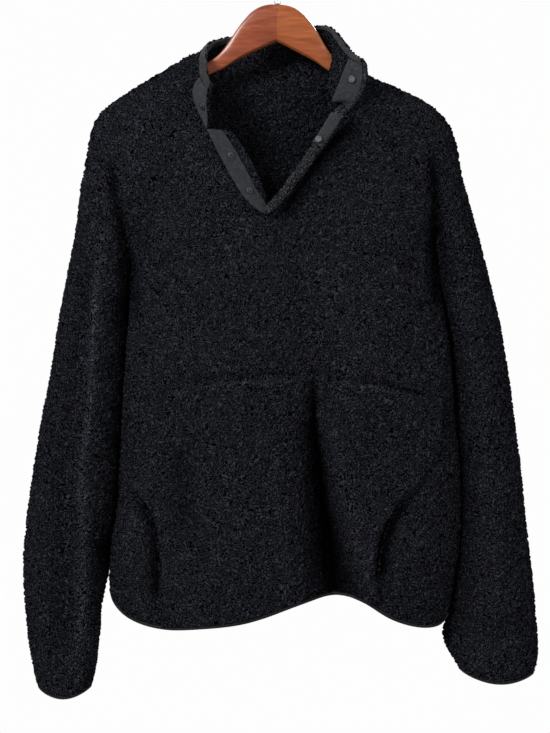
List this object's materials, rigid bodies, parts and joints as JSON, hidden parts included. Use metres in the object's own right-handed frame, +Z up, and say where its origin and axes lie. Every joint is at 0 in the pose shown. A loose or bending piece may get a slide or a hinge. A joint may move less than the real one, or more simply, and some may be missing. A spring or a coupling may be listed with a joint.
{
  "type": "fleece pullover on a wooden hanger",
  "caption": "Charcoal sherpa fleece pullover with a snap placket, stand-up collar and kangaroo pocket, hung on a varnished wooden hanger",
  "frame": {"origin": "the point of the hook's bend that bears on the rail or peg, which is the mount hook: the inner top of the bend, midway through the wire", "axes": "+Z runs up, from the hem to the hook's bearing point. +Y runs from the garment's front to its back, so the front faces -Y. +X runs towards the garment's own left sleeve, which is on the viewer's right seen from the front"},
  "size_m": [0.6118, 0.1177, 0.8987],
  "materials": {
    "sherpa": "near-black charcoal sherpa fleece, curly pile about 4 mm across, dull",
    "twill_tape": "dark grey woven twill tape, matt, with a fine diagonal rib",
    "binding": "dark grey-black stretch binding, matt",
    "snap_metal": "dull gunmetal snap with worn light edges",
    "varnished_wood": "reddish-orange varnished beech, semi-gloss, fine lengthwise grain",
    "steel": "bright bent steel wire"
  },
  "bodies": {
    "root": {"back": "sherpa", "collar": "sherpa", "collar_binding": "binding", "collar_tape_left": "twill_tape", "collar_tape_right": "twill_tape", "cuff_binding_left": "binding", "cuff_binding_right": "binding", "front": "sherpa", "hanger_arm_left": "varnished_wood", "hanger_arm_right": "varnished_wood", "hanger_hook": "steel", "hem_binding": "binding", "placket_left": "sherpa", "placket_right": "sherpa", "placket_tape_left": "twill_tape", "placket_tape_right": "twill_tape", "pocket": "sherpa", "sleeve_left": "sherpa", "sleeve_right": "sherpa", "snap_socket_1": "snap_metal", "snap_socket_2": "snap_metal", "snap_stud_1": "snap_metal", "snap_stud_2": "snap_metal", "snap_stud_3": "snap_metal"}
  },
  "joints": []
}
